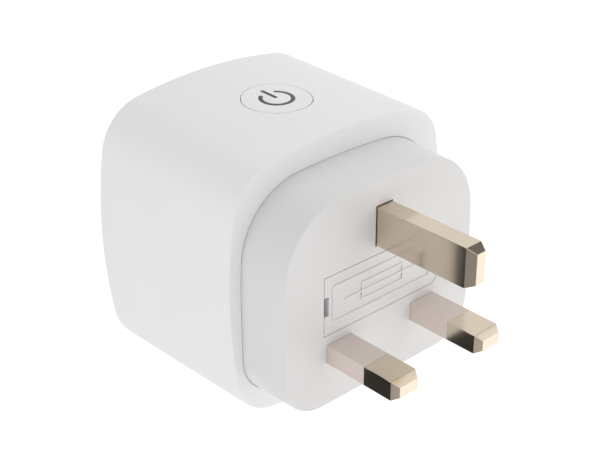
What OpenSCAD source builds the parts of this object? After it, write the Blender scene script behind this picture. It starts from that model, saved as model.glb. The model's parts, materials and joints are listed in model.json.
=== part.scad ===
/* [Body] */
// Width of the body at the socket face
body_front_w = 57; // [56:0.1:72]
// Height of the body at the socket face
body_front_h = 57.5; // [56:0.1:72]
// Width of the body at its rear edge
body_rear_w = 55.9; // [55:0.1:70]
// Height of the body at its rear edge
body_rear_h = 54.9; // [54:0.1:70]
// Depth of the body from the socket face to its rear edge
body_depth = 39.8; // [39:0.1:50]
// Height of the body's middle above the line through the live and neutral pins
body_z = 10.15; // [9:0.05:12]
// How far the middle of each side bows out past its ends, at the socket face
front_bow = 3.95; // [2:0.05:5]
// The same at the rear edge
rear_bow = 3.6; // [2:0.05:5]
// Radius of the four long corners at the socket face
front_corner_r = 11.3; // [8:0.1:13]
// The same at the rear edge
rear_corner_r = 10; // [8:0.1:13]
// Radius of the edge around the socket face
front_edge_r = 1.4; // [0.6:0.1:1.5]
// Bevel on the rear edge
rear_edge = 0.4; // [0.2:0.1:0.6]
// Thickness of the casing walls
wall = 2; // [1.6:0.1:2.4]

/* [Rear base] */
// Depth of the raised rear base, from its pin face to the body
plinth_depth = 11.3; // [11.3:0.1:15]
// Half width of the pin face
plinth_half = 24.75; // [23:0.05:24.8]
// Height of the pin face above the line through the live and neutral pins
plinth_top = 31.8; // [30:0.1:32]
// Depth of the pin face below that line
plinth_drop = 11.35; // [11:0.05:12]
// Half width of the rear base where it meets the body
base_half = 25.05; // [23:0.05:25.2]
// Height of the rear base there
base_top = 32.5; // [30:0.1:32.6]
// Depth of the rear base there
base_drop = 11.5; // [11:0.1:12]
// Height at which the rear base is widest
plinth_mid = 9; // [6:0.1:10]
// Radius of its two upper corners
plinth_top_r = 14.5; // [12:0.1:15]
// Radius of its two lower corners
plinth_low_r = 9.2; // [8:0.1:10]
// Bow of the sides and top of the pin face
plinth_bow = 1.2; // [0.6:0.1:1.6]
// The same where the rear base meets the body
base_bow = 2; // [0.6:0.1:2.4]
// Bow of its lower half
low_bow = 0.1; // [0.1:0.1:1]
// Depth of the flare where the rear base meets the body
flare_l = 3; // [1:0.1:4]
// Share of the rear base's growth that comes before the flare
flare_start = 0.35; // [0:0.05:0.8]
// Thickness of the pin face
pin_face_t = 2.5; // [2:0.1:3]

/* [Pins] */
// Distance between the centres of the live and neutral pins
pin_pitch = 22.23; // [22.23:0.01:22.23]
// Height of the earth pin's centre above the live and neutral pins
earth_z = 22.23; // [22.23:0.01:22.23]
// Width of a live or neutral pin
pin_w = 6.35; // [6.35:0.01:6.35]
// Thickness of a live or neutral pin, and width of the earth pin
pin_t = 3.97; // [3.97:0.01:3.97]
// Length of the live and neutral pins outside the pin face
pin_l = 17.7; // [17.7:0.1:17.7]
// Height of the earth pin's section
earth_h = 7.93; // [7.93:0.01:7.93]
// Length of the earth pin outside the pin face
earth_l = 23.1; // [22.3:0.1:23.2]
// Length of the insulating sleeve outside the pin face
sleeve_l = 9.5; // [9:0.1:10]
// Wall of the insulating sleeve
sleeve_t = 0.5; // [0.4:0.05:0.6]
// Length of a pin's tapered tip
tip_l = 1.5; // [1:0.1:2]
// Length of the earth pin's tapered tip
earth_tip_l = 1.9; // [1.5:0.1:2.2]
// Narrowing of a pin's tip on each side
tip_in = 0.9; // [0.6:0.1:1.2]

/* [Fuse] */
// Length of the cartridge fuse
fuse_l = 25.4; // [25.4:0.1:25.4]
// Diameter of the cartridge fuse
fuse_d = 6.35; // [6.35:0.05:7.7]
// Length of a fuse end cap
cap_l = 5.5; // [5:0.1:6]
// Width of the fuse cover
cover_w = 30; // [29:0.1:30]
// Height of the fuse cover
cover_h = 12.1; // [12:0.1:12.2]
// Thickness of the fuse cover
cover_t = 1.6; // [1.4:0.1:2]
// Height of the fuse's axis above the live and neutral pins
fuse_z = 10.15; // [10:0.05:10.3]
// Height of the slot that a screwdriver pries in
pry_h = 4; // [3.5:0.1:6]
// Depth of that slot
pry_w = 1.1; // [0.6:0.05:1.2]
// Distance of a fuse clip's foot from the end of the fuse
clip_foot_in = 2.7; // [2.2:0.1:3.2]

/* [Button] */
// Radius of the button
button_r = 6.9; // [6:0.1:8.4]
// Distance of the button's axis in front of the pin face
button_y = 29.3; // [28:0.1:31]
// Travel of the button
button_travel = 0.4; // [0.3:0.1:0.5]
// Middle radius of the power symbol's ring
ring_r = 3.15; // [2.8:0.05:3.6]
// Stroke width of the power symbol
stroke = 0.85; // [0.6:0.05:1]
// Length of the power symbol's bar, out from the middle of the ring
bar_l = 4.6; // [4:0.1:5]

/* [Socket] */
// Thickness of the socket face
face_t = 2.5; // [2:0.1:3]
// Width of a live or neutral aperture
slot_w = 7.2; // [7:0.1:7.4]
// Height of a live or neutral aperture, and width of the earth aperture
slot_h = 4.9; // [4.8:0.1:5]
// Height of the earth aperture
earth_slot_h = 9; // [8.8:0.1:9.2]
// Depth of the collars behind the apertures
collar_l = 2.2; // [2:0.1:2.6]
// Travel of the shutter
shutter_travel = 6.5; // [6:0.1:6.8]
// Thickness of the shutter
shutter_t = 1.6; // [1.4:0.1:2]

/* [Boards] */
// Thickness of the power board
board_t = 1.6; // [1.2:0.1:2]
// Width of the power board
board_w = 43; // [42:0.5:44]
// Height of the power board
board_h = 39; // [38:0.5:40]
// Gap between the rear base's flange and the power board
board_gap = 3.4; // [3:0.1:5]
// Thickness of the control board
control_t = 1; // [0.8:0.1:1.2]

/* [Hidden] */

$fn = 48;
eps = 0.01;
fit = 0.05;          // clearance of pieces fixed to each other
run = 0.3;           // clearance of loose moving pieces
seam = 0.15;         // gap of a visible seam
pin_relief = [0.22, 0.8];   // gap and depth of the shadow line around the earth pin
flange_t = 2;
pin_x = pin_pitch / 2;
y_rear = -plinth_depth;
y_band = y_rear - wall;
y_flange = y_band - flange_t;
y_board = y_flange - board_gap;
y_parts = y_board - board_t;
y_front = y_rear - body_depth;
y_face = y_front + face_t;
y_collar = y_face + collar_l;
pin_face_edge = 0.4;
skirt_t = 1.2;
skirt_l = 4;
skirt_in = wall + 0.4;
hook = [6, 1.4, 0.6];
pin_in = 12.5;       // length of a pin inside the pin face
boss_l = 10;
boss_wall = 1;
post_r = 2.5;
pilot_r = 1.1;
pilot_l = 9;
screw_head = [2, 1.5];
low_posts = [[-19, -6], [19, -6]];
high_posts = [[-15, 26], [15, 26]];
strip = 0.8;         // thickness of the contact metal

function mix(t, a, b) = a + (b - a) * t;
function polar(c, r, a) = c + r * [cos(a), sin(a)];
function flip(p, sx, sy) = [p[0] * sx, p[1] * sy];
function lifted(pts, z) = [for (p = pts) p + [0, z]];

// Quarter outline from [a, 0] to [0, b]: a bowed side, a corner of radius r and a bowed top
function quarter(a, b, bow, r, n) =
    let (ra = (b * b + bow * bow) / (2 * bow),
         rb = (a * a + bow * bow) / (2 * bow),
         p = [a - ra, 0],
         q = [0, b - rb],
         d = norm(q - p),
         u = (q - p) / d,
         t = ((ra - r) * (ra - r) - (rb - r) * (rb - r) + d * d) / (2 * d),
         h = sqrt((ra - r) * (ra - r) - t * t),
         c = p + t * u + h * [-u[1], u[0]],
         a1 = atan2(c[1] - p[1], c[0] - p[0]),
         a2 = atan2(c[1] - q[1], c[0] - q[0]))
    concat([for (i = [0:n - 1]) polar(p, ra, a1 * i / n)],
           [for (i = [0:2 * n]) polar(c, r, a1 + (a2 - a1) * i / (2 * n))],
           [for (i = [1:n]) polar(q, rb, a2 + (90 - a2) * i / n)]);
// Whole outline from an upper and a lower quarter of equal point counts
function outline(k, l) =
    let (n = len(k))
    concat(k, [for (i = [n - 2:-1:1]) flip(k[i], -1, 1)],
           [for (i = [0:n - 1]) flip(l[i], -1, -1)],
           [for (i = [n - 2:-1:1]) flip(l[i], 1, -1)]);

// Sizes of the body at a distance y, and its outline there, drawn in by inset
function along(y) = (y - y_rear) / (y_front - y_rear);
function half_w(y) = mix(along(y), body_rear_w, body_front_w) / 2;
function half_h(y) = mix(along(y), body_rear_h, body_front_h) / 2;
function body_outline(y, inset) =
    let (bow = mix(along(y), rear_bow, front_bow),
         r = mix(along(y), rear_corner_r, front_corner_r),
         k = quarter(half_w(y) - inset, half_h(y) - inset, bow, r - inset, 4))
    lifted(outline(k, k), body_z);

// Outline of the rear base, t of the way from the pin face to the body, grown by g all round
function plinth_outline(t, g = 0) =
    let (w = mix(t, plinth_half, base_half) + g,
         up = mix(t, plinth_top, base_top) - plinth_mid + g,
         down = mix(t, plinth_drop, base_drop) + plinth_mid + g)
    lifted(outline(quarter(w, up, mix(t, plinth_bow, base_bow), plinth_top_r + g, 5),
                   quarter(w, down, low_bow, plinth_low_r + g, 5)), plinth_mid);

// Solid through outlines of equal point counts, each given as [y, points], from rear to front
module loft(rings) {
    n = len(rings[0][1]);
    m = len(rings);
    pts = [for (r = rings) for (p = r[1]) [p[0], r[0], p[1]]];
    sides = [for (j = [0:m - 2]) for (i = [0:n - 1])
             let (k = (i + 1) % n, b = j * n, t = b + n)
             each [[b + i, t + i, b + k], [b + k, t + i, t + k]]];
    polyhedron(points = pts,
               faces = concat(sides, [[for (i = [0:n - 1]) i],
                                      [for (i = [n - 1:-1:0]) (m - 1) * n + i]]));
}
// Plate of a flat outline, t thick, with its rear surface at y
module plate(y, t) translate([0, y, 0]) rotate([90, 0, 0]) linear_extrude(t) children();
// Box given by its low and high corners
module span(a, b) translate(a) cube(b - a);
// Box with its middle at x and z and its rear surface at y
module block(x, y, z, size) translate([x - size[0] / 2, y - size[1], z - size[2] / 2]) cube(size);
// Cylinder along Y with its rear end at y
module rod(x, y, z, r, l) translate([x, y, z]) rotate([90, 0, 0]) cylinder(r = r, h = l);

module body_solid() {
    fillet = [for (a = [0:18:90]) [y_front + front_edge_r * (1 - sin(a)), front_edge_r * (1 - cos(a))]];
    loft(concat([[y_rear, body_outline(y_rear, rear_edge)],
                 [y_rear - rear_edge, body_outline(y_rear, 0)]],
                [for (f = fillet) [f[0], body_outline(f[0], f[1])]]));
}
module body_cavity()
    loft([[y_band, body_outline(y_band, wall)], [y_front - eps, body_outline(y_front, wall)]]);

// --- casing ---------------------------------------------------------------
hook_z = 10;
hook_y = y_face + skirt_l - 1;
module at_hooks() for (s = [-1, 1], z = [-hook_z, hook_z])
    translate([s * (half_w(hook_y) - skirt_in), hook_y, body_z + z]) scale([s, 1, 1]) children();

module outer_shell() color("whitesmoke") difference() {
    body_solid();
    body_cavity();
    plate(y_rear + eps, wall + 2 * eps) polygon(plinth_outline(1, fit));
    translate([0, -button_y, body_z]) cylinder(r = button_r + seam, h = body_front_h);
    at_hooks() translate([-1.5, -hook[1] - seam, -hook[0] / 2 - seam])
        cube([1.5 + hook[2] + seam, hook[1] + 2 * seam, hook[0] + 2 * seam]);
}

module slots(y, t, g = 0) {
    for (s = [-1, 1]) block(s * pin_x, y, 0, [slot_w + 2 * g, t, slot_h + 2 * g]);
    block(0, y, earth_z, [slot_h + 2 * g, t, earth_slot_h + 2 * g]);
}
// Plate that follows the tapering cavity from y0 forwards to y1
module cover_loft(y0, y1, inset) loft([[y0, body_outline(y0, inset)], [y1, body_outline(y1, inset)]]);
module front_cover() color("whitesmoke") difference() {
    union() {
        cover_loft(y_face, y_front, wall + seam);
        difference() {
            cover_loft(y_face + skirt_l, y_face - eps, skirt_in);
            cover_loft(y_face + skirt_l + eps, y_face - 2 * eps, skirt_in + skirt_t);
        }
        slots(y_collar, collar_l + eps, boss_wall);
        at_hooks() translate([-skirt_t / 2, -hook[1], -hook[0] / 2])
            cube([skirt_t / 2 + hook[2], hook[1], hook[0]]);
    }
    slots(y_collar + eps, collar_l + face_t + 2 * eps);
    span([-rail_x - rail_t - run, y_face, guide_z0 - wall],
         [rail_x + rail_t + run, y_face + skirt_l + 1, guide_z0 + 4]);
}

// --- rear base ------------------------------------------------------------
bay_y = fuse_d + cover_t + 1.65;
clip_foot = [2, 2];
module cover_outline(g) difference() {
    w = cover_w / 2 + g;
    h = cover_h / 2 + g;
    round_r = 2;
    union() {
        translate([round_r - w, -h]) square([2 * w - round_r, 2 * h]);
        translate([-w, round_r - h]) square([round_r + eps, 2 * (h - round_r)]);
        for (s = [-1, 1]) translate([round_r - w, s * (h - round_r)]) circle(round_r);
    }
}
module rear_base() color("white") difference() {
    union() {
        difference() {
            union() {
                loft(concat([for (a = [90:-30:0]) [pin_face_edge * (sin(a) - 1),
                                                   plinth_outline(0, pin_face_edge * (cos(a) - 1))]],
                            [for (i = [0:3]) [y_rear + flare_l * (1 - i / 3),
                                              plinth_outline(mix(i * i / 9, flare_start, 1))]],
                            [[y_band, plinth_outline(1)]]));
                plate(y_band, flange_t) polygon(body_outline(y_band, wall + run));
            }
            plate(-pin_face_t, -y_flange) polygon(plinth_outline(0, -wall));
        }
        for (p = concat(low_posts, high_posts)) rod(p[0], -1, p[1], post_r, -y_board - 1);
        for (s = [-1, 1]) block(s * pin_x, -1, 0, [pin_w + 2 * boss_wall, boss_l - 1, pin_t + 1.4]);
        block(0, -1, earth_z, [pin_t + 2 * boss_wall, boss_l - 1, earth_h + 1.4]);
        block(0, -1, fuse_z, [cover_w + 2.4, bay_y + boss_wall - 1, cover_h + 2.2]);
    }
    for (p = concat(low_posts, high_posts)) rod(p[0], y_board + pilot_l, p[1], pilot_r, pilot_l + eps);
    translate([0, 0, fuse_z]) plate(eps, bay_y + eps) cover_outline(seam);
    for (s = [-1, 1]) {
        block(s * (fuse_l / 2 - clip_foot_in), -bay_y + eps, fuse_z, [clip_foot[0] + 2 * fit, boss_wall + 2 * eps, clip_foot[1] + 2 * fit]);
        block(s * pin_x, eps, 0, [pin_w + 2 * fit, pin_face_t + 2 * eps, pin_t + 2 * fit]);
        block(s * pin_x, eps, 0, [pin_w - 2 * sleeve_t + 2 * fit, boss_l + 2 * eps, pin_t - 2 * sleeve_t + 2 * fit]);
    }
    block(0, eps, earth_z, [pin_t + 2 * fit, boss_l + 2 * eps, earth_h + 2 * fit]);
    block(0, eps, earth_z, [pin_t + 2 * pin_relief[0], pin_relief[1] + eps, earth_h + 2 * pin_relief[0]]);
}

// --- pins -----------------------------------------------------------------
module tapered(w, h, y0, l, tip = tip_l) {
    function side(s) = [[-s / 2, y0], [s / 2, y0], [s / 2, l - tip], [s / 2 - tip_in, l],
                        [tip_in - s / 2, l], [-s / 2, l - tip]];
    intersection() {
        translate([0, 0, -h / 2]) linear_extrude(h) polygon(side(w));
        translate([-w / 2, 0, 0]) rotate([90, 0, 90]) linear_extrude(w) polygon([for (p = side(h)) [p[1], p[0]]]);
    }
}
module earth_pin() color("burlywood") translate([0, 0, earth_z]) tapered(pin_t, earth_h, -pin_in, earth_l, earth_tip_l);
module line_pin(s) color("burlywood") translate([s * pin_x, 0, 0]) {
    tapered(pin_w, pin_t, sleeve_l, pin_l);
    block(0, sleeve_l, 0, [pin_w - 2 * sleeve_t, pin_in + sleeve_l, pin_t - 2 * sleeve_t]);
}
module live_pin() line_pin(1);
module neutral_pin() line_pin(-1);
module sleeve(s) color("rosybrown") difference() {
    block(s * pin_x, sleeve_l, 0, [pin_w, sleeve_l + pin_face_t, pin_t]);
    block(s * pin_x, sleeve_l + eps, 0, [pin_w - 2 * sleeve_t, sleeve_l + pin_face_t + 2 * eps, pin_t - 2 * sleeve_t]);
}
module live_sleeve() sleeve(1);
module neutral_sleeve() sleeve(-1);

// --- fuse and its carrier -------------------------------------------------
fuse_r = fuse_d / 2;
fuse_y = -cover_t - 0.6 - fuse_r;
arm_x = 4;
arm_w = 3;
arm_t = 1;
tube_r = fuse_r - 0.15;
clip_x0 = fuse_l / 2 - cap_l + 0.2;
clip_x1 = fuse_l / 2 - 0.3;
grip = 0.08;         // gap between a fuse cap and its clip
module along_x(x, y, z, r, l) translate([x, y, z]) rotate([0, 90, 0]) cylinder(r = r, h = l);
module fuse_carrier() color("white") difference() {
    union() {
        translate([0, 0, fuse_z]) plate(0, cover_t) cover_outline(0);
        for (x = [-arm_x, arm_x])
            block(x, -cover_t + eps, fuse_z, [arm_w, -fuse_y - cover_t + 1.5 + eps, 2 * (fuse_r + arm_t)]);
    }
    along_x(-fuse_l / 2, fuse_y, fuse_z, fuse_r, fuse_l);
    block(0, fuse_y, fuse_z, [fuse_l, fuse_d, fuse_d - 0.6]);
    block(cover_w / 2, eps, fuse_z, [2 * pry_w, cover_t + 2 * eps, pry_h]);
}
module fuse_tube() color("ivory") difference() {
    along_x(cap_l - fuse_l / 2, fuse_y, fuse_z, tube_r, fuse_l - 2 * cap_l);
    along_x(cap_l - fuse_l / 2 - eps, fuse_y, fuse_z, tube_r - 0.9, fuse_l - 2 * cap_l + 2 * eps);
}
module fuse_caps() color("silver") for (x = [-fuse_l / 2, fuse_l / 2 - cap_l])
    along_x(x, fuse_y, fuse_z, fuse_r, cap_l);
module fuse_clip(s) {
    inner = fuse_r + grip;
    outer = inner + 0.6;
    low = fuse_y - inner - 0.6;
    x0 = s > 0 ? clip_x0 : -clip_x1;
    x1 = s > 0 ? clip_x1 : -clip_x0;
    difference() {
        span([x0, low, fuse_z - outer], [x1, fuse_y + 1.6, fuse_z + outer]);
        span([x0 - eps, low + 0.6, fuse_z - inner], [x1 + eps, fuse_y + 2, fuse_z + inner]);
    }
    foot = s > 0 ? pin_in : -y_board;
    block(s * (fuse_l / 2 - clip_foot_in), low + eps, fuse_z, [clip_foot[0], foot + low + eps, clip_foot[1]]);
}
live_foot_x = fuse_l / 2 - clip_foot_in;
module live_fuse_clip() color("gold") {
    fuse_clip(1);
    span([live_foot_x - clip_foot[0] / 2, -pin_in - strip, -pin_t / 3],
         [live_foot_x + clip_foot[0] / 2, -pin_in, fuse_z + clip_foot[1] / 2]);
}
module load_fuse_clip() color("gold") fuse_clip(-1);
module neutral_strap() color("gold") span([-pin_x - 2, y_board, -1.2], [2 - pin_x, -pin_in, 1.2]);
module earth_strap() color("gold") span([-1.5, y_parts, earth_z - 2], [1.5, -pin_in, earth_z + 2]);

// --- button ---------------------------------------------------------------
button_top = body_z + half_h(-button_y);
flange_top = button_top - wall - 0.8;
button_flange = 0.8;
button_low = flange_top - button_flange;
guide_r = button_r - 2.4;
guide_top = button_low + 2.4;
module symbol() {
    difference() {
        circle(ring_r + stroke / 2);
        circle(ring_r - stroke / 2);
        polygon([[0, 0], [-6, -8], [6, -8]]);
    }
    for (s = [-1, 1]) rotate(-90 + s * atan(0.75)) translate([ring_r, 0]) circle(stroke / 2);
    translate([-stroke / 2, stroke / 2 - bar_l]) square([stroke, bar_l - stroke]);
    for (y = [-stroke / 2, stroke / 2 - bar_l]) translate([0, y]) circle(stroke / 2);
}
module symbol_prism() translate([0, -button_y, guide_top - eps]) linear_extrude(10) symbol();
module power_button() color("whitesmoke") difference() {
    union() {
        intersection() {
            translate([0, -button_y, flange_top - eps]) cylinder(r = button_r, h = 10);
            body_solid();
        }
        translate([0, -button_y, button_low]) cylinder(r = button_r + 1.1, h = button_flange);
    }
    translate([0, -button_y, button_low - eps]) cylinder(r = guide_r, h = guide_top - button_low + eps);
    symbol_prism();
}
module light_guide() color("dimgray") {
    translate([0, -button_y, button_low]) cylinder(r = guide_r, h = guide_top - button_low);
    intersection() {
        symbol_prism();
        body_solid();
    }
}

// --- shutter --------------------------------------------------------------
shutter_y0 = y_collar + 0.2;
ramp_l = 3.8;
shutter_y1 = shutter_y0 + ramp_l;
y_guide = shutter_y1 + run;
guide_t = 1.6;
guide_rise = 2.15;   // of its lower edge above the middle of the casing's lower wall
shutter_x = pin_x + slot_w / 2 + 1.2;
shutter_z = slot_h / 2 + 0.95;
rail_x = shutter_x + run;
rail_t = 1.2;
guide_z0 = body_z - half_h(y_face) + wall + guide_rise;
guide_z1 = 28.4;
floor_t = 1.2;
ramp_z = earth_z - earth_h / 2 - 0.3;
spring_y = (y_collar + y_guide) / 2;
spring_r = 1.5;
wire_r = 0.3;
spring_turns = 3;
foot_t = 1;
contact_y = y_guide + guide_t + 0.5;
module shutter() color("lightgray") {
    span([-shutter_x, shutter_y1 - shutter_t, -shutter_z], [shutter_x, shutter_y1, shutter_z]);
    span([-2.5, shutter_y0 + 0.4, -shutter_z - foot_t], [2.5, shutter_y1, -shutter_z + eps]);
    span([-1.9, shutter_y1 - shutter_t, shutter_z - eps], [1.9, shutter_y1, ramp_z + eps]);
    translate([-1.9, 0, 0]) rotate([90, 0, 90]) linear_extrude(3.8)
        polygon([[shutter_y0, ramp_z], [shutter_y1, ramp_z], [shutter_y1, ramp_z + shutter_travel - 0.2]]);
}
module shutter_guide() color("lightgray") difference() {
    union() {
        span([-rail_x - rail_t, y_guide, guide_z0], [rail_x + rail_t, y_guide + guide_t, guide_z1]);
        for (s = [-1, 1]) block(s * (rail_x + rail_t / 2), y_guide + eps, (guide_z0 + 8) / 2,
                                [rail_t, y_guide - y_face + eps, 8 - guide_z0]);
        span([-rail_x - eps, y_face + 1, guide_z0], [rail_x + eps, y_guide + eps, guide_z0 + floor_t]);
        span([-8, y_guide, guide_z1 - eps], [8, y_guide + 3.8, control_z]);
    }
    slots(y_guide + guide_t + eps, guide_t + 2 * eps);
}
// Wire of a round coil: rings of wire points along the turns
module shutter_spring() color("silver") {
    z0 = guide_z0 + floor_t + wire_r;
    z1 = -shutter_z - foot_t - wire_r;
    steps = 12 * spring_turns;
    sides = 6;
    pts = [for (i = [0:steps]) let (a = 360 * spring_turns * i / steps, z = z0 + (z1 - z0) * i / steps)
           for (j = [0:sides - 1]) let (b = 360 * j / sides, r = spring_r + wire_r * cos(b))
           [r * cos(a), spring_y + r * sin(a), z + wire_r * sin(b)]];
    skin = [for (i = [0:steps - 1], j = [0:sides - 1])
            let (k = (j + 1) % sides, p = i * sides, q = p + sides)
            each [[p + j, q + j, p + k], [p + k, q + j, q + k]]];
    polyhedron(points = pts,
               faces = concat(skin, [[for (j = [0:sides - 1]) j],
                                     [for (j = [sides - 1:-1:0]) steps * sides + j]]));
}

// --- socket contacts ------------------------------------------------------
gap = pin_t / 2 - 0.04;
leaf = 0.7;
flare = 0.6;
// U-shaped spring clip seen from the side: distance in front, then half gap
clip_half = [[y_parts, gap + leaf], [contact_y + 2, gap + leaf], [contact_y, gap + leaf + flare],
             [contact_y, gap + flare], [contact_y + 2, gap], [y_parts - strip, gap]];
module clip_profile() polygon(concat(clip_half, [for (i = [len(clip_half) - 1:-1:0]) flip(clip_half[i], 1, -1)]));
module line_contact(s) color("gold") translate([s * pin_x - 3, 0, 0]) rotate([90, 0, 90]) linear_extrude(6) clip_profile();
module live_contact() line_contact(1);
module neutral_contact() line_contact(-1);
module earth_contact() color("gold") translate([0, 0, earth_z - 3.5]) linear_extrude(7) rotate(90) clip_profile();

// --- boards and their parts -----------------------------------------------
control_z = button_low - 0.05 - 0.75 - 2.8 - control_t;
control_top = control_z + control_t;
control_y1 = contact_y - 0.3;
control_y0 = y_parts - 1.4;
module on_board(x, z, size) block(x, y_parts, z, size);
module power_board() color("darkgreen") difference() {
    translate([0, 0, body_z - 0.5]) plate(y_board, board_t) {
        square([board_w - 8, board_h], center = true);
        square([board_w, board_h - 8], center = true);
        for (x = [-1, 1], z = [-1, 1]) translate([x * (board_w / 2 - 4), z * (board_h / 2 - 4)]) circle(4);
    }
    for (p = concat(low_posts, high_posts)) rod(p[0], y_board + eps, p[1], pilot_r + 0.2, board_t + 2 * eps);
    block(0, y_board + eps, earth_z, [3 + 2 * run, board_t + 2 * eps, 4 + 2 * run]);
}
module board_screws() color("silver") for (p = concat(low_posts, high_posts)) {
    rod(p[0], y_parts, p[1], screw_head[0], screw_head[1]);
    rod(p[0], y_board + pilot_l - 1, p[1], pilot_r - fit, board_t + pilot_l - 1 + eps);
}

relay_x = -13;
relay_z = 13;
relay = [15, 15.5, 16];
case_t = 0.7;
pad = 1.5;
yoke_z = relay_z - 6.2;
arm_low = y_parts - 10.5;
coil_z = relay_z + 0.5;
contact_z = relay_z + 5.8;
module relay_base() color("royalblue") on_board(relay_x, relay_z, [relay[0], pad, relay[2]]);
module relay_case() color("royalblue") difference() {
    block(relay_x, y_parts - pad, relay_z, [relay[0], relay[1] - pad, relay[2]]);
    block(relay_x, y_parts - pad + eps, relay_z,
          [relay[0] - 2 * case_t, relay[1] - pad - case_t + eps, relay[2] - 2 * case_t]);
}
module relay_coil() color("chocolate") {
    rod(relay_x, y_parts - pad, coil_z, 4.2, 1);
    rod(relay_x, y_parts - pad - 1 + eps, coil_z, 3.6, 6 + 2 * eps);
    rod(relay_x, y_parts - pad - 7, coil_z, 4.2, 0.8);
    rod(relay_x, y_parts - pad - 7.8 + eps, coil_z, 1.5, 0.3);
}
module relay_yoke() color("silver")
    span([relay_x - 4, arm_low + fit, yoke_z - 0.6], [relay_x + 4, y_parts - pad, yoke_z + 0.6]);
module relay_contact() color("gold") {
    span([relay_x - 1.5, arm_low + 1.5, contact_z - 0.4], [relay_x + 1.5, y_parts - pad, contact_z + 0.4]);
    rod(relay_x, arm_low + 1.5 + eps, contact_z, 1, 0.5);
}
module relay_armature() color("silver") {
    span([relay_x - 4, arm_low - 1, yoke_z - 0.6], [relay_x + 4, arm_low, contact_z + 1.2]);
}

module bulk_capacitor() color("midnightblue") rod(16.5, y_parts, 19, 4, 12.5);
module film_capacitor() color("gold") on_board(11.5, 7.2, [13, 11, 5]);
module inductor() color("saddlebrown") {
    rod(8, y_parts, 16, 3.2, 1);
    rod(8, y_parts - 1 + eps, 16, 2.6, 6 + 2 * eps);
    rod(8, y_parts - 7, 16, 3.2, 1);
}
module varistor() color("steelblue") translate([0, y_parts - 5, -8.6]) cylinder(r = 4.5, h = 3.2);
module shunt() color("silver") for (x = [-1, 1]) {
    on_board(x * 3.4, -2, [1.2, 1, 2.4]);
    span([min(0, x * 4), y_parts - 1.8, -3.2], [max(0, x * 4), y_parts - 1 + eps, -0.8]);
}
module metering_chip() color("black") on_board(0, 9.5, [5, 1.6, 6.2]);
module supply_chip() color("black") on_board(9.5, 27, [4, 1.6, 4]);
module header() color("dimgray") span([-6, y_parts - 2.6, earth_z + 4.3], [6, y_parts, control_z]);

module control_board() color("darkgreen") span([-12, control_y1, control_z], [12, control_y0, control_top]);
module radio_module() color("silver") span([-8, control_y1 + 4, control_z - 2.6], [8, control_y1 + 15, control_z]);
module tact_switch() color("dimgray") difference() {
    block(0, 3 - button_y, control_top + 1.4, [6, 6, 2.8]);
    translate([0, -button_y, control_top + 0.9]) cylinder(r = 1.8, h = 3);
}
module tact_plunger() color("black")
    translate([0, -button_y, control_top + 0.9 + button_travel + 0.1])
        cylinder(r = 1.75, h = button_low - 0.05 - control_top - 1 - button_travel);
module indicator_led() color("aqua") span([-1, 4 - button_y, control_top], [1, 5.2 - button_y, control_top + 0.9]);

outer_shell();
front_cover();
rear_base();
earth_pin();
live_pin();
neutral_pin();
live_sleeve();
neutral_sleeve();
fuse_carrier();
fuse_tube();
fuse_caps();
live_fuse_clip();
load_fuse_clip();
neutral_strap();
earth_strap();
power_button();
light_guide();
shutter_guide();
shutter();
shutter_spring();
live_contact();
neutral_contact();
earth_contact();
power_board();
board_screws();
relay_base();
relay_case();
relay_coil();
relay_yoke();
relay_contact();
relay_armature();
bulk_capacitor();
film_capacitor();
inductor();
varistor();
shunt();
metering_chip();
supply_chip();
header();
control_board();
radio_module();
tact_switch();
tact_plunger();
indicator_led();
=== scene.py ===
"""A plug-in power meter: a bowed square casing with a socket in front, a British three-pin
plug behind and a power button on top. Lengths are in metres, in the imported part's own frame:
+Y along the pins, +Z up towards the earth pin, origin on the pin face between the line pins."""

import json
import math

import bmesh
import bpy
from mathutils import Matrix, Vector

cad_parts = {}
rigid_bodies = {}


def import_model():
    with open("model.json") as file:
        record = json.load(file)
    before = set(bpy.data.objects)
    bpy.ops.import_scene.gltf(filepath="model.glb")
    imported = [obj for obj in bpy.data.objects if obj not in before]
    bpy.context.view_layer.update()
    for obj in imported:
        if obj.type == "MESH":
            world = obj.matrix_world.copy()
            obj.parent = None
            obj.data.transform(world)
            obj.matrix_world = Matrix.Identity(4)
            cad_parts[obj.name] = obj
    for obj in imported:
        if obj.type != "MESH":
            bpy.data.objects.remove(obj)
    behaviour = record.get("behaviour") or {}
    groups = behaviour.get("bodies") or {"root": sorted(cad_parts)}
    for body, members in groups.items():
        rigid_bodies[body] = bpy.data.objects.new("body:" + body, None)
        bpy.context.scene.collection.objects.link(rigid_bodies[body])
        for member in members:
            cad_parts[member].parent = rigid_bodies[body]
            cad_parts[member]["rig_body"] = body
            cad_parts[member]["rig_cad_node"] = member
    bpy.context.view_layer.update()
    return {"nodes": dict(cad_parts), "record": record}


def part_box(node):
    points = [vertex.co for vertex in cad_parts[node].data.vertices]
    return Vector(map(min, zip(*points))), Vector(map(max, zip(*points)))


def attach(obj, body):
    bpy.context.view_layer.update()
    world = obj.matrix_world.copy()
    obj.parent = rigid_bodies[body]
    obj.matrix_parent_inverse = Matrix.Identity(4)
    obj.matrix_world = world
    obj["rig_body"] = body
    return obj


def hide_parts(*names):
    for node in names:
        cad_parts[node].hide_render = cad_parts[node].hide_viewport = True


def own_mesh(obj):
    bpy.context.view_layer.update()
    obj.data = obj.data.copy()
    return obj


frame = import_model()

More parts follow.
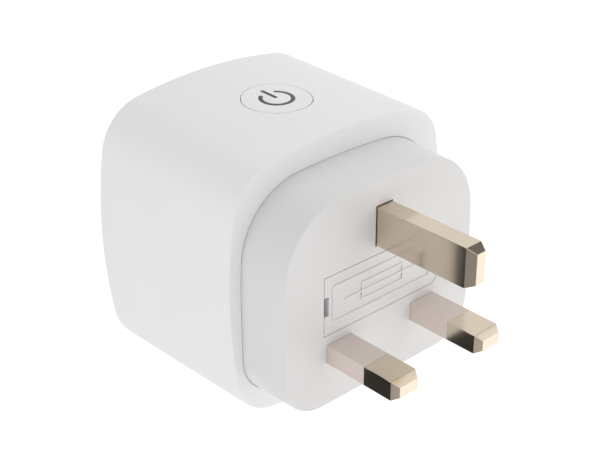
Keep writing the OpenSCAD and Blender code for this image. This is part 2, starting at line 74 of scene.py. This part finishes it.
# --- Camera -------------------------------------------------------------------------------
# A long lens that looks down on the pins from behind the device and from its upper left, so
# that the pin face, one side and the top all show.
mm = 0.001
scene = bpy.context.scene
aim = Vector((8.65, -13.4, 19.8)) * mm
distance = 244.14 * mm
azimuth, elevation, roll = (math.radians(a) for a in (137.72, 27.65, -0.36))
camera = bpy.data.objects.new("camera", bpy.data.cameras.new("camera"))
scene.collection.objects.link(camera)
camera.data.sensor_width = 36
camera.data.lens = 78.55
camera.data.clip_start = 0.005
turn = Matrix.Rotation(azimuth, 3, "Z") @ Matrix.Rotation(math.pi / 2 - elevation, 3, "X")
turn = turn @ Matrix.Rotation(roll, 3, "Z")
camera.rotation_euler = turn.to_euler()
camera.location = aim + turn @ Vector((0, 0, distance))
scene.camera = camera
scene.view_settings.view_transform = "Standard"

# --- Studio -------------------------------------------------------------------------------
# A white table in a white tent. The tent is a little darker on the side towards the pins, and
# bare metal sees a dark card on one side and a small one above; weak soft boxes add highlights.
floor_size = 6
floor_gap = 0.2 * mm
floor_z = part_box("outer_shell")[0].z - floor_gap
bpy.ops.mesh.primitive_plane_add(size=floor_size, location=(0, 0, floor_z))
floor = bpy.context.object
floor.name = "floor"
floor.visible_glossy = False
paper = bpy.data.materials.new("paper")
paper.use_nodes = True
paper_shader = paper.node_tree.nodes["Principled BSDF"]
paper_shader.inputs["Base Color"].default_value = (0.6, 0.6, 0.6, 1)
paper_shader.inputs["Roughness"].default_value = 0.9
paper_shader.inputs["Specular IOR Level"].default_value = 0.1
paper_shader.inputs["Emission Color"].default_value = (1, 1, 1, 1)
paper_shader.inputs["Emission Strength"].default_value = 0.62
floor.data.materials.append(paper)

world = bpy.data.worlds.new("tent")
scene.world = world
world.use_nodes = True
nodes, links = world.node_tree.nodes, world.node_tree.links
direction = nodes.new("ShaderNodeTexCoord")
ray = nodes.new("ShaderNodeLightPath")


def tent_light(axis, stops):
    """World shader whose grey goes by these stops from the far end of the axis to its near end."""
    across = nodes.new("ShaderNodeVectorMath")
    across.operation = "DOT_PRODUCT"
    across.inputs[1].default_value = Vector(axis).normalized()
    spread = nodes.new("ShaderNodeMapRange")
    spread.inputs["From Min"].default_value = -1
    ramp = nodes.new("ShaderNodeValToRGB")
    while len(ramp.color_ramp.elements) < len(stops):
        ramp.color_ramp.elements.new(0.5)
    for element, (position, level) in zip(ramp.color_ramp.elements, stops):
        element.position = position
        element.color = (level, level, level, 1)
    shader = nodes.new("ShaderNodeBackground")
    links.new(direction.outputs["Generated"], across.inputs[0])
    links.new(across.outputs["Value"], spread.inputs["Value"])
    links.new(spread.outputs["Result"], ramp.inputs["Fac"])
    links.new(ramp.outputs["Color"], shader.inputs["Color"])
    return shader


def either(ray_kind, other, chosen):
    """World shader that shows chosen to one kind of ray and other to the rest."""
    mix = nodes.new("ShaderNodeMixShader")
    links.new(ray.outputs[ray_kind], mix.inputs["Fac"])
    links.new(other.outputs[0], mix.inputs[1])
    links.new(chosen.outputs[0], mix.inputs[2])
    return mix


soft = tent_light((0.60, 0.65, 0.46), ((0, 0.62), (0.3, 0.93), (1, 0.47)))
mirrored = tent_light((-0.60, 0.65, 0), (
    (0.08, 0.03), (0.2, 0.2), (0.34, 0.5), (0.5, 0.98), (0.8, 1.08), (0.9, 1.5)))
small_card = tent_light((-0.68, 0, 0.73), ((0.989, 1), (0.996, 0.15)))
both_cards = nodes.new("ShaderNodeMix")
both_cards.data_type = "RGBA"
both_cards.blend_type = "MULTIPLY"
both_cards.inputs["Factor"].default_value = 1
colors_in, color_out = both_cards.inputs[6:8], both_cards.outputs[2]
for card, socket in zip((mirrored, small_card), colors_in):
    links.new(card.inputs["Color"].links[0].from_socket, socket)
links.new(color_out, mirrored.inputs["Color"])
backdrop = tent_light((0, 0, 1), ((0, 1), (1, 1)))
shown = either("Is Camera Ray", either("Is Glossy Ray", soft, mirrored), backdrop)
links.new(shown.outputs[0], nodes["World Output"].inputs["Surface"])


def soft_box(name, place, size, power):
    """An area light at place, facing the object."""
    lamp = bpy.data.objects.new(name, bpy.data.lights.new(name, "AREA"))
    scene.collection.objects.link(lamp)
    lamp.data.size = size
    lamp.data.energy = power
    lamp.location = place
    lamp.rotation_euler = (-lamp.location).to_track_quat("-Z", "Y").to_euler()


soft_box("left_box", (0.85, -0.15, 0.20), 0.5, 0.7)
soft_box("right_box", (-0.35, 0.80, 0.30), 0.5, 0.5)
soft_box("top_box", (-0.10, -0.20, 0.85), 0.7, 0.9)
soft_box("far_box", (-0.80, 0.10, 0.40), 0.5, 0.6)

# --- Outer casing -------------------------------------------------------------------------
# One polycarbonate moulding: four bowed sides that taper to the rear, a rounded front rim and
# a narrow rear band. The rear base stands out through the band and the button through the top.
front_half, rear_half = Vector((28.5, 28.75)) * mm, Vector((27.95, 27.45)) * mm
front_bow, rear_bow = 3.95 * mm, 3.6 * mm
front_corner, rear_corner = 11.3 * mm, 10 * mm
front_radius, rear_radius, lip_radius = 1.4 * mm, 0.45 * mm, 0.2 * mm
wall = 2 * mm
casing_low, casing_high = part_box("outer_shell")
body_z = (casing_low.z + casing_high.z) / 2
front_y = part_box("front_cover")[0].y
rear_y = casing_high.y
band_y = rear_y - wall
arc_steps = (8, 18, 8)


def mix(t, a, b):
    """The value at t on the way from a to b."""
    return a + (b - a) * t


def quarter(a, b, bow, r):
    """Quarter outline from (a, 0) to (0, b): a bowed side, a round corner and a bowed top."""
    big_a = (b * b + bow * bow) / (2 * bow)
    big_b = (a * a + bow * bow) / (2 * bow)
    side, top = Vector((a - big_a, 0)), Vector((0, b - big_b))
    apart = (top - side).length
    along = (top - side) / apart
    t = ((big_a - r) ** 2 - (big_b - r) ** 2 + apart**2) / (2 * apart)
    corner = side + t * along + math.sqrt((big_a - r) ** 2 - t * t) * Vector((-along.y, along.x))
    first = math.atan2(corner.y - side.y, corner.x - side.x)
    last = math.atan2(corner.y - top.y, corner.x - top.x)
    points = []
    arcs = ((side, big_a, 0, first), (corner, r, first, last), (top, big_b, last, math.pi / 2))
    for (centre, radius, begin, end), steps in zip(arcs, arc_steps):
        for i in range(steps):
            angle = begin + (end - begin) * i / steps
            points.append(centre + radius * Vector((math.cos(angle), math.sin(angle))))
    return points + [Vector((0, b))]


def outline(upper, lower, y, z):
    """Full ring of points in the plane y, from an upper and a lower quarter outline."""
    ring = [(p.x, p.y) for p in upper[:-1]]
    ring += [(-p.x, p.y) for p in upper[:0:-1]]
    ring += [(-p.x, -p.y) for p in lower[:-1]]
    ring += [(p.x, -p.y) for p in lower[:0:-1]]
    return [Vector((x, y, z + h)) for x, h in ring]


def body_ring(y, inset):
    """Outline of the casing in the plane y, moved in all round by inset."""
    t = (y - rear_y) / (front_y - rear_y)
    half = rear_half.lerp(front_half, t)
    bow, corner = mix(t, rear_bow, front_bow), mix(t, rear_corner, front_corner)
    part = quarter(half.x - inset, half.y - inset, bow, corner - inset)
    return outline(part, part, y, body_z)


base_half, base_top, base_drop, base_mid = (v * mm for v in (25.05, 32.5, 11.5, 9))
base_bow, low_bow, base_top_radius, base_low_radius = (v * mm for v in (2, 0.1, 14.5, 9.2))


def opening_ring(y, grow):
    """Outline of the opening in the rear band, grown all round the foot of the rear base."""
    half = base_half + grow
    upper = quarter(half, base_top + grow - base_mid, base_bow, base_top_radius + grow)
    lower = quarter(half, base_mid + base_drop + grow, low_bow, base_low_radius + grow)
    return outline(upper, lower, y, base_mid)


def only(piece):
    """Leaves this piece as the one that is selected and active."""
    bpy.ops.object.select_all(action="DESELECT")
    piece.select_set(True)
    bpy.context.view_layer.objects.active = piece


def skin(name, rings, loop=False):
    """A surface through rings of points, extruded ring by ring from a circle. Its ends are
    filled, or joined to each other if it is a loop."""
    bpy.ops.object.select_all(action="DESELECT")
    bpy.ops.mesh.primitive_circle_add(vertices=len(rings[0]))
    piece = bpy.context.object
    piece.name = piece.data.name = name
    bpy.ops.object.mode_set(mode="EDIT")
    mesh = bmesh.from_edit_mesh(piece.data)
    place = mesh.verts.layers.int.new("place")
    level = mesh.verts.layers.int.new("level")
    for i, vertex in enumerate(mesh.verts):
        vertex[place] = i
        vertex.co = rings[0][i]
    for number, ring in enumerate(rings[1:], 1):
        bpy.ops.mesh.extrude_region_move()
        mesh = bmesh.from_edit_mesh(piece.data)
        place, level = (mesh.verts.layers.int[n] for n in ("place", "level"))
        for vertex in mesh.verts:
            if vertex.select:
                vertex.co = ring[vertex[place]]
                vertex[level] = number
    ends = [(0, len(rings) - 1)] if loop else [(0,), (len(rings) - 1,)]
    for wanted in ends:
        mesh = bmesh.from_edit_mesh(piece.data)
        level = mesh.verts.layers.int["level"]
        bpy.ops.mesh.select_mode(type="EDGE")
        bpy.ops.mesh.select_all(action="DESELECT")
        for edge in mesh.edges:
            a, b = (v[level] for v in edge.verts)
            edge.select = a == b and a in wanted
        bmesh.update_edit_mesh(piece.data)
        if loop:
            bpy.ops.mesh.bridge_edge_loops()
        else:
            bpy.ops.mesh.edge_face_add()
    bpy.ops.mesh.select_all(action="SELECT")
    bpy.ops.mesh.normals_make_consistent(inside=False)
    bpy.ops.object.mode_set(mode="OBJECT")
    for layer in ("place", "level"):
        piece.data.attributes.remove(piece.data.attributes[layer])
    return piece


def round_over(steps):
    """Insets and depths, in radii, of a quarter-round edge from a side to a face."""
    angles = [math.pi / 2 * i / steps for i in range(steps + 1)]
    return [(1 - math.cos(a), 1 - math.sin(a)) for a in angles]


def apply(piece, kind, **settings):
    """Adds a modifier with these settings and applies it."""
    only(piece)
    modifier = piece.modifiers.new(kind.lower(), kind)
    for key, value in settings.items():
        setattr(modifier, key, value)
    bpy.ops.object.modifier_apply(modifier=modifier.name)


def combine(piece, tool, operation="DIFFERENCE"):
    """Takes the tool's shape out of the piece, or joins it on, and removes the tool."""
    apply(piece, "BOOLEAN", object=tool, operation=operation, solver="EXACT")
    bpy.data.objects.remove(tool)


def round_edges(piece, chosen, width, segments=3):
    """Bevels the edges for which chosen(middle of the edge, edge) is true."""
    only(piece)
    bpy.ops.object.mode_set(mode="EDIT")
    bpy.ops.mesh.select_mode(type="EDGE")
    bpy.ops.mesh.select_all(action="DESELECT")
    mesh = bmesh.from_edit_mesh(piece.data)
    for edge in mesh.edges:
        edge.select = chosen((edge.verts[0].co + edge.verts[1].co) / 2, edge)
    bmesh.update_edit_mesh(piece.data)
    bpy.ops.mesh.bevel(offset=width, segments=segments)
    bpy.ops.object.mode_set(mode="OBJECT")


def polish(piece, angle=35):
    """Smooth shading in which the large faces stay flat."""
    only(piece)
    bpy.ops.object.shade_smooth_by_angle(angle=math.radians(angle))
    apply(piece, "WEIGHTED_NORMAL", keep_sharp=True)


bodies = frame["record"]["behaviour"]["bodies"]


def stand_for(piece, material, *cad_nodes):
    """Gives a finished piece its material and puts it in the place of its CAD nodes."""
    piece.data.materials.clear()
    piece.data.materials.append(material)
    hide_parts(*cad_nodes)
    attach(piece, next(body for body, members in bodies.items() if cad_nodes[0] in members))


def sums(tree, operation, a, b):
    """A Math node in the tree, given numbers or outputs of other nodes."""
    node = tree.nodes.new("ShaderNodeMath")
    node.operation = operation
    for socket, value in zip(node.inputs, (a, b)):
        if isinstance(value, (int, float)):
            socket.default_value = value
        else:
            tree.links.new(value, socket)
    return node.outputs[0]


def effect(name, inputs):
    """Starts a shader group that puts out a colour, a roughness and a normal."""
    tree = bpy.data.node_groups.new(name, "ShaderNodeTree")
    for key, value in inputs.items():
        kind = "NodeSocketColor" if isinstance(value, tuple) else "NodeSocketFloat"
        tree.interface.new_socket(name=key, in_out="INPUT", socket_type=kind).default_value = value
    for key, kind in (("Color", "Color"), ("Roughness", "Float"), ("Normal", "Vector")):
        tree.interface.new_socket(name=key, in_out="OUTPUT", socket_type="NodeSocket" + kind)
    given, out = tree.nodes.new("NodeGroupInput"), tree.nodes.new("NodeGroupOutput")
    place = tree.nodes.new("ShaderNodeTexCoord")
    return tree, given.outputs, out.inputs, place.outputs["Object"]


def noise(tree, vector, scale, detail=2.0):
    """Cloudy noise around 0.5, with scale cells to the metre."""
    node = tree.nodes.new("ShaderNodeTexNoise")
    node.inputs["Detail"].default_value = detail
    node.inputs["Scale"].default_value = scale
    tree.links.new(vector, node.inputs["Vector"])
    return node.outputs["Fac"]


def shaded(tree, color, swing):
    """The colour, made lighter or darker by swing around nought."""
    node = tree.nodes.new("ShaderNodeHueSaturation")
    tree.links.new(sums(tree, "ADD", swing, 1.0), node.inputs["Value"])
    tree.links.new(color, node.inputs["Color"])
    return node.outputs["Color"]


def bumped(tree, height, strength, depth):
    """The normal of a surface with this height of relief, as deep as depth."""
    node = tree.nodes.new("ShaderNodeBump")
    node.inputs["Distance"].default_value = depth
    tree.links.new(strength, node.inputs["Strength"])
    tree.links.new(height, node.inputs["Height"])
    return node.outputs["Normal"]


def finish(name, tree, values, **fixed):
    """A material that takes its colour, roughness and normal from a group with these values."""
    material = bpy.data.materials.new(name)
    material.use_nodes = True
    shader = material.node_tree.nodes["Principled BSDF"]
    links = material.node_tree.links
    group = material.node_tree.nodes.new("ShaderNodeGroup")
    group.node_tree = tree
    for key, value in values.items():
        group.inputs[key].default_value = value
    for output, socket in (("Color", "Base Color"), ("Roughness", "Roughness"), ("Normal", "Normal")):
        links.new(group.outputs[output], shader.inputs[socket])
    for key, value in fixed.items():
        shader.inputs[key.replace("_", " ")].default_value = value
    return material


# Moulded plastic: cloudy colour from the flow in the mould, a fine spark-eroded texture, and
# a polish that wanders a little.
moulding, given, out, place = effect("moulded_plastic", {
    "Color": (0.8, 0.8, 0.8, 1), "Clouding": 0.02, "Roughness": 0.4, "Grain": 0.05})
clouds = sums(moulding, "SUBTRACT", noise(moulding, place, 70, 3.0), 0.5)
polish_swing, grain_scale, grain_depth = 0.12, 9000, 0.02 * mm
cloudy = sums(moulding, "MULTIPLY", clouds, given["Clouding"])
moulding.links.new(shaded(moulding, given["Color"], cloudy), out["Color"])
polish_change = sums(moulding, "MULTIPLY", clouds, polish_swing)
moulding.links.new(sums(moulding, "ADD", given["Roughness"], polish_change), out["Roughness"])
grain = noise(moulding, place, grain_scale)
moulding.links.new(bumped(moulding, grain, given["Grain"], grain_depth), out["Normal"])


def plastic(name, color, roughness=0.4, clouding=0.02, grain=0.05):
    """A material of moulded plastic."""
    return finish(name, moulding, {"Color": (*color, 1), "Clouding": clouding,
                                   "Roughness": roughness, "Grain": grain})


opening_gap, opening_edge = 0.05 * mm, 0.12 * mm
casing_rings = [opening_ring(band_y, opening_gap)]
casing_rings += [
    opening_ring(rear_y - opening_edge * depth, opening_gap + opening_edge * growth)
    for growth, depth in round_over(2)
]
casing_rings += [
    body_ring(rear_y - rear_radius * depth, rear_radius * inset)
    for inset, depth in round_over(5)[::-1]
]
side_steps = 18
side_start, side_end = rear_y - rear_radius, front_y + front_radius
casing_rings += [
    body_ring(mix(i / side_steps, side_start, side_end), 0)
    for i in range(1, side_steps)
]
casing_rings += [
    body_ring(front_y + front_radius * depth, front_radius * inset)
    for inset, depth in round_over(8)
]
casing_rings += [
    body_ring(front_y + lip_radius * depth, wall - lip_radius * inset)
    for inset, depth in round_over(3)[::-1]
]
casing_rings += [body_ring(band_y, wall)]
casing = skin("casing", casing_rings, loop=True)

button_low, button_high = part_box("power_button")
button_y = (button_low.y + button_high.y) / 2
hole_radius, hole_reach, hole_facets, hole_edge = 7.05 * mm, 20 * mm, 128, 0.12 * mm
rim_depth, rim_rise, rim_spread = 0.5 * mm, 0.2 * mm, 0.02 * mm
bpy.ops.mesh.primitive_cylinder_add(vertices=hole_facets, radius=hole_radius, depth=hole_reach,
                                    location=(0, button_y, casing_high.z))
combine(casing, bpy.context.object)
hole_rim_z = button_high.z - rim_depth


def at_hole(middle, edge):
    """True for the edges round the top of the button's hole."""
    reach = Vector((middle.x, middle.y - button_y)).length
    flat = abs(edge.verts[0].co.z - edge.verts[1].co.z) < rim_rise
    return middle.z > hole_rim_z and flat and abs(reach - hole_radius) < rim_spread


round_edges(casing, at_hole, hole_edge)
polish(casing)
casing_white = plastic("casing_white", (0.90, 0.90, 0.90), 0.42)
stand_for(casing, casing_white, "outer_shell")

# --- Socket face --------------------------------------------------------------------------
# A flat polycarbonate cover with one upright and two level apertures for a British plug. It
# snaps into the casing's front rim by four hooks on its skirt.


def copied(cad_node, name):
    """A copy of a CAD node with its loose triangles merged into faces, none of them with a
    hollow side, which a bevel could fold over itself."""
    source = frame["nodes"][cad_node]
    piece = source.copy()
    piece.data = source.data.copy()
    piece.parent = None
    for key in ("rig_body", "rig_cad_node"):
        del piece[key]
    piece.name = piece.data.name = name
    scene.collection.objects.link(piece)
    only(piece)
    bpy.ops.mesh.customdata_custom_splitnormals_clear()
    bpy.ops.object.mode_set(mode="EDIT")
    bpy.ops.mesh.select_all(action="SELECT")
    bpy.ops.mesh.remove_doubles(threshold=0.002 * mm)
    bpy.ops.mesh.dissolve_limited(angle_limit=math.radians(0.6))
    bpy.ops.mesh.vert_connect_concave()
    bpy.ops.object.mode_set(mode="OBJECT")
    return piece


def softened(cad_node, name, width, material, segments=2, angle=38):
    """A CAD node's shape with its edges broken, as on a moulding, a stamping or a turned part,
    in the place of that node."""
    piece = copied(cad_node, name)
    if width:
        apply(piece, "BEVEL", width=width, segments=segments, limit_method="ANGLE",
              angle_limit=math.radians(angle))
    polish(piece, angle)
    stand_for(piece, material, cad_node)
    return piece


softened("front_cover", "socket_face", 0.25 * mm, casing_white, 3)

# --- Rear base ----------------------------------------------------------------------------
# The moulded base that carries the pins, raised off the casing so that the plug seats in a
# recessed wall socket. Its flange is welded behind the casing's rear band.
base_white = plastic("base_white", (0.80, 0.79, 0.785), 0.42)
softened("rear_base", "base", 0.12 * mm, base_white)

# --- Fuse cover ---------------------------------------------------------------------------
# A snap-in carrier for the cartridge fuse, set in the pin face, with a raised border round the
# drawing sign for a fuse. A notch at one end takes a screwdriver that levers it out.
cover_low, cover_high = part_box("fuse_carrier")
cover_middle = Vector((0.1 * mm, 0, (cover_low.z + cover_high.z) / 2))
relief_height, line_height, relief_foot = 0.22 * mm, 0.198 * mm, 0.2 * mm
stroke, least_corner, relief_edge = 0.45 * mm, 0.05 * mm, 0.07 * mm
border_corner, box_corner, line_corner = 0.6 * mm, 0.25 * mm, 0.2 * mm
border, sign_box = Vector((13.0, 3.9)) * mm, Vector((5.6, 1.95)) * mm
sign_line = Vector((9.8 * mm, stroke / 2))


def sign_ring(half, corner, y, steps=4):
    """Rounded rectangle in the plane y, around the middle of the fuse cover."""
    points = []
    for quadrant, (sx, sz) in enumerate(((1, 1), (-1, 1), (-1, -1), (1, -1))):
        for i in range(steps + 1):
            angle = math.pi / 2 * (quadrant + i / steps)
            x = sx * (half.x - corner) + corner * math.cos(angle)
            z = sz * (half.y - corner) + corner * math.sin(angle)
            points.append(cover_middle + Vector((x, y, z)))
    return points


def relief(half, corner, width, height):
    """A raised bar round a rectangle with this half size, or the whole rectangle if it is as
    thin as the bar."""
    rings = [sign_ring(half, corner, -relief_foot), sign_ring(half, corner, height)]
    if half.y > width:
        inner = half - Vector((width, width))
        inner_corner = max(corner - width, least_corner)
        rings += [sign_ring(inner, inner_corner, y) for y in (height, -relief_foot)]
    return skin("relief", rings, loop=len(rings) > 2)


fuse_cover = copied("fuse_carrier", "fuse_cover")
for half, corner, height in ((border, border_corner, relief_height),
                             (sign_box, box_corner, relief_height),
                             (sign_line, line_corner, line_height)):
    combine(fuse_cover, relief(half, corner, stroke, height), "UNION")
apply(fuse_cover, "BEVEL", width=relief_edge, segments=2, limit_method="ANGLE",
      angle_limit=math.radians(38))
polish(fuse_cover)
stand_for(fuse_cover, base_white, "fuse_carrier")

# --- Pins ---------------------------------------------------------------------------------
# Solid brass pins with a bright nickel plate, chamfered at their tips and pressed into the
# base. The live and neutral pins have a neck under their sleeves.

# Drawn metal: long faint scratches along the pins, in the colour, the polish and the surface.
drawing, given, out, place = effect("drawn_metal", {
    "Color": (0.7, 0.6, 0.5, 1), "Roughness": 0.2, "Scratches": 0.1, "Streaks": 0.06})
lengthen = drawing.nodes.new("ShaderNodeMapping")
lengthen.inputs["Scale"].default_value = (1, 0.03, 1)
drawing.links.new(place, lengthen.inputs["Vector"])
streaks = sums(drawing, "SUBTRACT", noise(drawing, lengthen.outputs["Vector"], 5000, 3.0), 0.5)
tarnish = sums(drawing, "SUBTRACT", noise(drawing, place, 140, 3.0), 0.5)
both = sums(drawing, "MULTIPLY", sums(drawing, "ADD", streaks, tarnish), given["Streaks"])
drawing.links.new(shaded(drawing, given["Color"], both), out["Color"])
drawing.links.new(sums(drawing, "ADD", given["Roughness"], both), out["Roughness"])
scratch_depth = 0.01 * mm
drawing.links.new(bumped(drawing, streaks, given["Scratches"], scratch_depth), out["Normal"])


def metal(name, color, roughness=0.25, scratches=0.15, streaks=0.1):
    """A material of bare or plated metal."""
    return finish(name, drawing, {"Color": (*color, 1), "Roughness": roughness,
                                  "Scratches": scratches, "Streaks": streaks}, Metallic=1)


pin_metal = metal("pin_metal", (0.68, 0.585, 0.47), 0.15, 0.06, 0.05)
for name in ("earth", "live", "neutral"):
    softened(name + "_pin", name + "_prong", 0.08 * mm, pin_metal, 2, 20)

# --- Sleeves ------------------------------------------------------------------------------
# Insulating sleeves of grey nylon, moulded round the necks of the live and neutral pins and
# level with the bare metal in front of them.
sleeve_grey = plastic("sleeve_grey", (0.72, 0.62, 0.575), 0.35)
for name in ("live", "neutral"):
    softened(name + "_sleeve", name + "_insulation", 0.06 * mm, sleeve_grey)

# --- Fuse ---------------------------------------------------------------------------------
# A cartridge fuse: a ceramic tube with a nickel-plated brass cap pressed on to each end. The
# arms of its carrier hold it and draw it out with the cover.
ceramic = plastic("ceramic", (0.82, 0.80, 0.74), 0.22, 0.05, 0.1)
bright_nickel = metal("bright_nickel", (0.72, 0.71, 0.68), 0.2)
softened("fuse_tube", "cartridge", 0.1 * mm, ceramic)
softened("fuse_caps", "cartridge_caps", 0.3 * mm, bright_nickel, 3)

# --- Clips and straps ---------------------------------------------------------------------
# Stamped brass: two spring clips that grip the fuse, and the bars that take the current from
# the pins to the power board.
stamped_brass = metal("stamped_brass", (0.74, 0.60, 0.36), 0.28)
for cad_node, name in (("live_fuse_clip", "live_clip"), ("load_fuse_clip", "load_clip"),
                       ("neutral_strap", "neutral_bar"), ("earth_strap", "earth_bar")):
    softened(cad_node, name, 0.1 * mm, stamped_brass)

# --- Button -------------------------------------------------------------------------------
# A round cap that lies flush in the top and follows its bow. Its power sign is a dark, clear
# light guide that is pushed in from below and lit by the lamp on the control board.
button_white = plastic("button_white", (0.90, 0.90, 0.90), 0.40)
symbol_dark = plastic("symbol_dark", (0.035, 0.035, 0.037), 0.3)
softened("power_button", "button", 0.09 * mm, button_white)
softened("light_guide", "power_sign", 0.03 * mm, symbol_dark)

# --- Socket works -------------------------------------------------------------------------
# A sprung shutter on a guide plate closes the live and neutral apertures until an earth pin
# wedges it down. Behind are three sprung clips of phosphor bronze, soldered to the board.
inner_white = plastic("inner_white", (0.86, 0.86, 0.84), 0.5)
bronze = metal("phosphor_bronze", (0.72, 0.50, 0.30), 0.3)
spring_steel = metal("spring_steel", (0.56, 0.56, 0.58), 0.3)
softened("shutter", "shutter_slide", 0.15 * mm, inner_white)
softened("shutter_guide", "shutter_frame", 0.15 * mm, inner_white)
for name in ("live", "neutral", "earth"):
    softened(name + "_contact", name + "_clip_spring", 0.1 * mm, bronze)
spring = softened("shutter_spring", "return_spring", 0, spring_steel, angle=70)
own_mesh(spring)

# --- Power board --------------------------------------------------------------------------
# A glass-epoxy board under green solder mask, which carries the mains parts. Four plated
# screws hold it to the base's posts.

# Solder mask: the board's green with a lighter net of tracks that show through it.
track_width, track_gloss, track_height = 0.08, -0.08, 0.03 * mm
mask, given, out, place = effect("solder_mask", {
    "Color": (0.03, 0.2, 0.1, 1), "Roughness": 0.35, "Tracks": 0.5})
tracks = mask.nodes.new("ShaderNodeTexVoronoi")
tracks.feature = "DISTANCE_TO_EDGE"
tracks.distance = "EUCLIDEAN"
tracks.inputs["Scale"].default_value = 350
mask.links.new(place, tracks.inputs["Vector"])
on_track = sums(mask, "LESS_THAN", tracks.outputs["Distance"], track_width)
lift = sums(mask, "MULTIPLY", on_track, given["Tracks"])
mask.links.new(shaded(mask, given["Color"], lift), out["Color"])
glossier = sums(mask, "MULTIPLY", on_track, track_gloss)
mask.links.new(sums(mask, "ADD", given["Roughness"], glossier), out["Roughness"])
mask.links.new(bumped(mask, on_track, given["Tracks"], track_height), out["Normal"])
board_green = finish("board_green", mask, {"Color": (0.02, 0.17, 0.08, 1), "Roughness": 0.35})
zinc = metal("zinc", (0.70, 0.70, 0.69), 0.3)
softened("power_board", "main_board", 0.08 * mm, board_green)
softened("board_screws", "screws", 0.2 * mm, zinc)

# --- Relay --------------------------------------------------------------------------------
# A sealed relay that switches the socket: a copper coil on a bobbin pulls an armature, hinged
# on the yoke, on to the fixed contact, all under a blue case.

# Winding: fine turns of enamelled wire, side by side, with painted shade in the grooves between turns
# and a painted highlight on their crests.
turn_gloss, turn_height = -0.1, 0.05 * mm
winding, given, out, place = effect("winding", {
    "Color": (0.5, 0.2, 0.08, 1), "Roughness": 0.3, "Turns": 0.6})
turns = winding.nodes.new("ShaderNodeTexWave")
turns.bands_direction = "Y"
turns.inputs["Scale"].default_value = 1600
turns.inputs["Distortion"].default_value = 0.4
winding.links.new(place, turns.inputs["Vector"])
groove = sums(winding, "SUBTRACT", turns.outputs["Fac"], 0.5)
depth = sums(winding, "MULTIPLY", groove, given["Turns"])
# The colour is darker in the grooves and lighter on the crests: painted shade and painted highlight.
winding.links.new(shaded(winding, given["Color"], depth), out["Color"])
glossier = sums(winding, "MULTIPLY", groove, turn_gloss)
winding.links.new(sums(winding, "ADD", given["Roughness"], glossier), out["Roughness"])
winding.links.new(bumped(winding, turns.outputs["Fac"], given["Turns"], turn_height), out["Normal"])
copper = finish("copper_winding", winding, {"Color": (0.62, 0.26, 0.12, 1)}, Metallic=0.8)
relay_blue = plastic("relay_blue", (0.03, 0.12, 0.42), 0.35)
for cad_node, name, width, material in (
    ("relay_base", "relay_foot", 0.3, relay_blue),
    ("relay_case", "relay_cover", 0.4, relay_blue),
    ("relay_coil", "relay_bobbin", 0.1, copper),
    ("relay_yoke", "yoke", 0.1, zinc),
    ("relay_contact", "fixed_contact", 0.08, bronze),
    ("relay_armature", "armature", 0.1, zinc),
):
    softened(cad_node, name, width * mm, material)

# --- Parts on the power board -------------------------------------------------------------
# The supply's capacitors and choke, a surge absorber, the current shunt with its metering
# chip, the supply chip and the pin header up to the control board, all soldered down.
vinyl = plastic("vinyl_sleeve", (0.03, 0.035, 0.08), 0.3)
epoxy_yellow = plastic("epoxy_yellow", (0.74, 0.50, 0.05), 0.3)
epoxy_blue = plastic("epoxy_blue", (0.06, 0.20, 0.50), 0.25, 0.08)
epoxy_black = plastic("epoxy_black", (0.025, 0.025, 0.027), 0.6, 0.05, 0.3)
for cad_node, name, width, material in (
    ("bulk_capacitor", "smoothing_can", 0.5, vinyl),
    ("film_capacitor", "film_block", 0.5, epoxy_yellow),
    ("inductor", "choke", 0.15, copper),
    ("varistor", "surge_disc", 0.8, epoxy_blue),
    ("shunt", "current_shunt", 0.1, zinc),
    ("metering_chip", "meter_chip", 0.15, epoxy_black),
    ("supply_chip", "converter_chip", 0.15, epoxy_black),
    ("header", "pin_header", 0.2, epoxy_black),
):
    softened(cad_node, name, width * mm, material, 3)

# --- Control board ------------------------------------------------------------------------
# A thin board that lies under the top wall with the screened radio module, the push switch
# under the button and a white lamp that lights the power sign.
lamp_white = plastic("lamp_white", (0.85, 0.82, 0.60), 0.3)
for cad_node, name, width, material in (
    ("control_board", "upper_board", 0.08, board_green),
    ("radio_module", "radio_can", 0.2, bright_nickel),
    ("tact_switch", "push_switch", 0.2, epoxy_black),
    ("tact_plunger", "switch_stem", 0.1, epoxy_black),
    ("indicator_led", "lamp", 0.12, lamp_white),
):
    softened(cad_node, name, width * mm, material)
